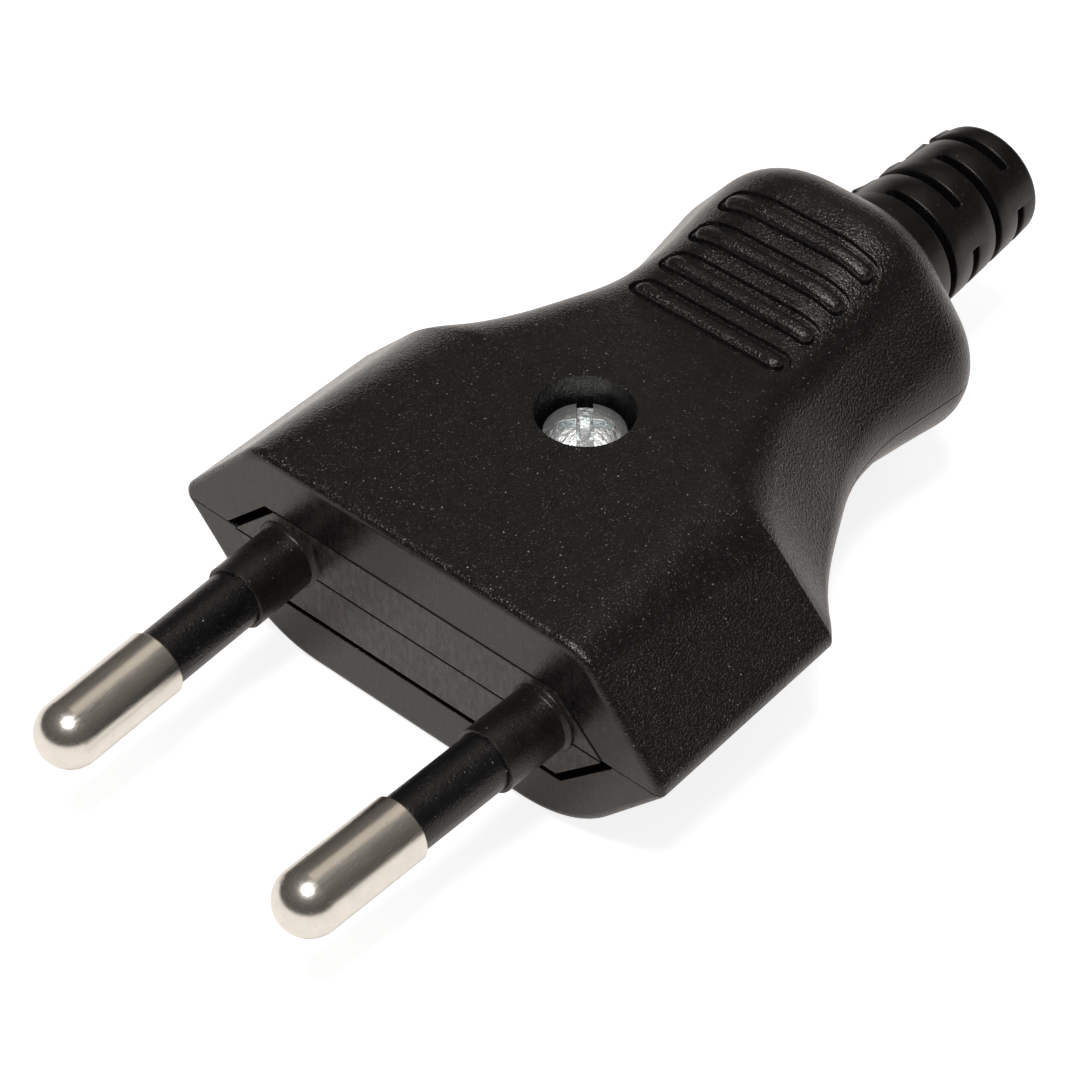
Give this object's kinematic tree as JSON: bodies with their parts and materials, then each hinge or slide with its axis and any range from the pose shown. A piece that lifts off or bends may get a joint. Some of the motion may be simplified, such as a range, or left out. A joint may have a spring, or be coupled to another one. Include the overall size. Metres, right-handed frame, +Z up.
{
  "type": "two-pin plug",
  "caption": "Black rewireable mains plug with a wide nose, narrow grip and flared rear, round sleeved pins, a deep screw hole on top and a slotted bend relief for the cord.",
  "frame": {"origin": "centre of the engagement face, on the plane where the two shells part", "axes": "-Y along the pins towards the socket, +Y towards the cord, +Z up through the screw hole"},
  "size_m": [0.0354, 0.0729, 0.0182],
  "materials": {
    "housing_plastic": "spark-eroded",
    "carrier_plastic": "matt",
    "sleeve_plastic": "satin",
    "relief_plastic": "satin",
    "clamp_plastic": "matt",
    "plated_brass": "nickel plated",
    "zinc_steel": "bright zinc",
    "terminal_steel": "zinc"
  },
  "bodies": {
    "root": {"upper_shell": "housing_plastic", "lower_shell": "housing_plastic", "pin_carrier": "carrier_plastic", "cord_clamp": "clamp_plastic", "bend_relief": "relief_plastic", "housing_screw": "zinc_steel", "housing_nut": "zinc_steel", "left_pin": "plated_brass", "right_pin": "plated_brass", "left_pin_sleeve": "sleeve_plastic", "right_pin_sleeve": "sleeve_plastic", "left_terminal_screw": "terminal_steel", "right_terminal_screw": "terminal_steel", "left_clamp_screw": "terminal_steel", "right_clamp_screw": "terminal_steel"}
  },
  "joints": []
}
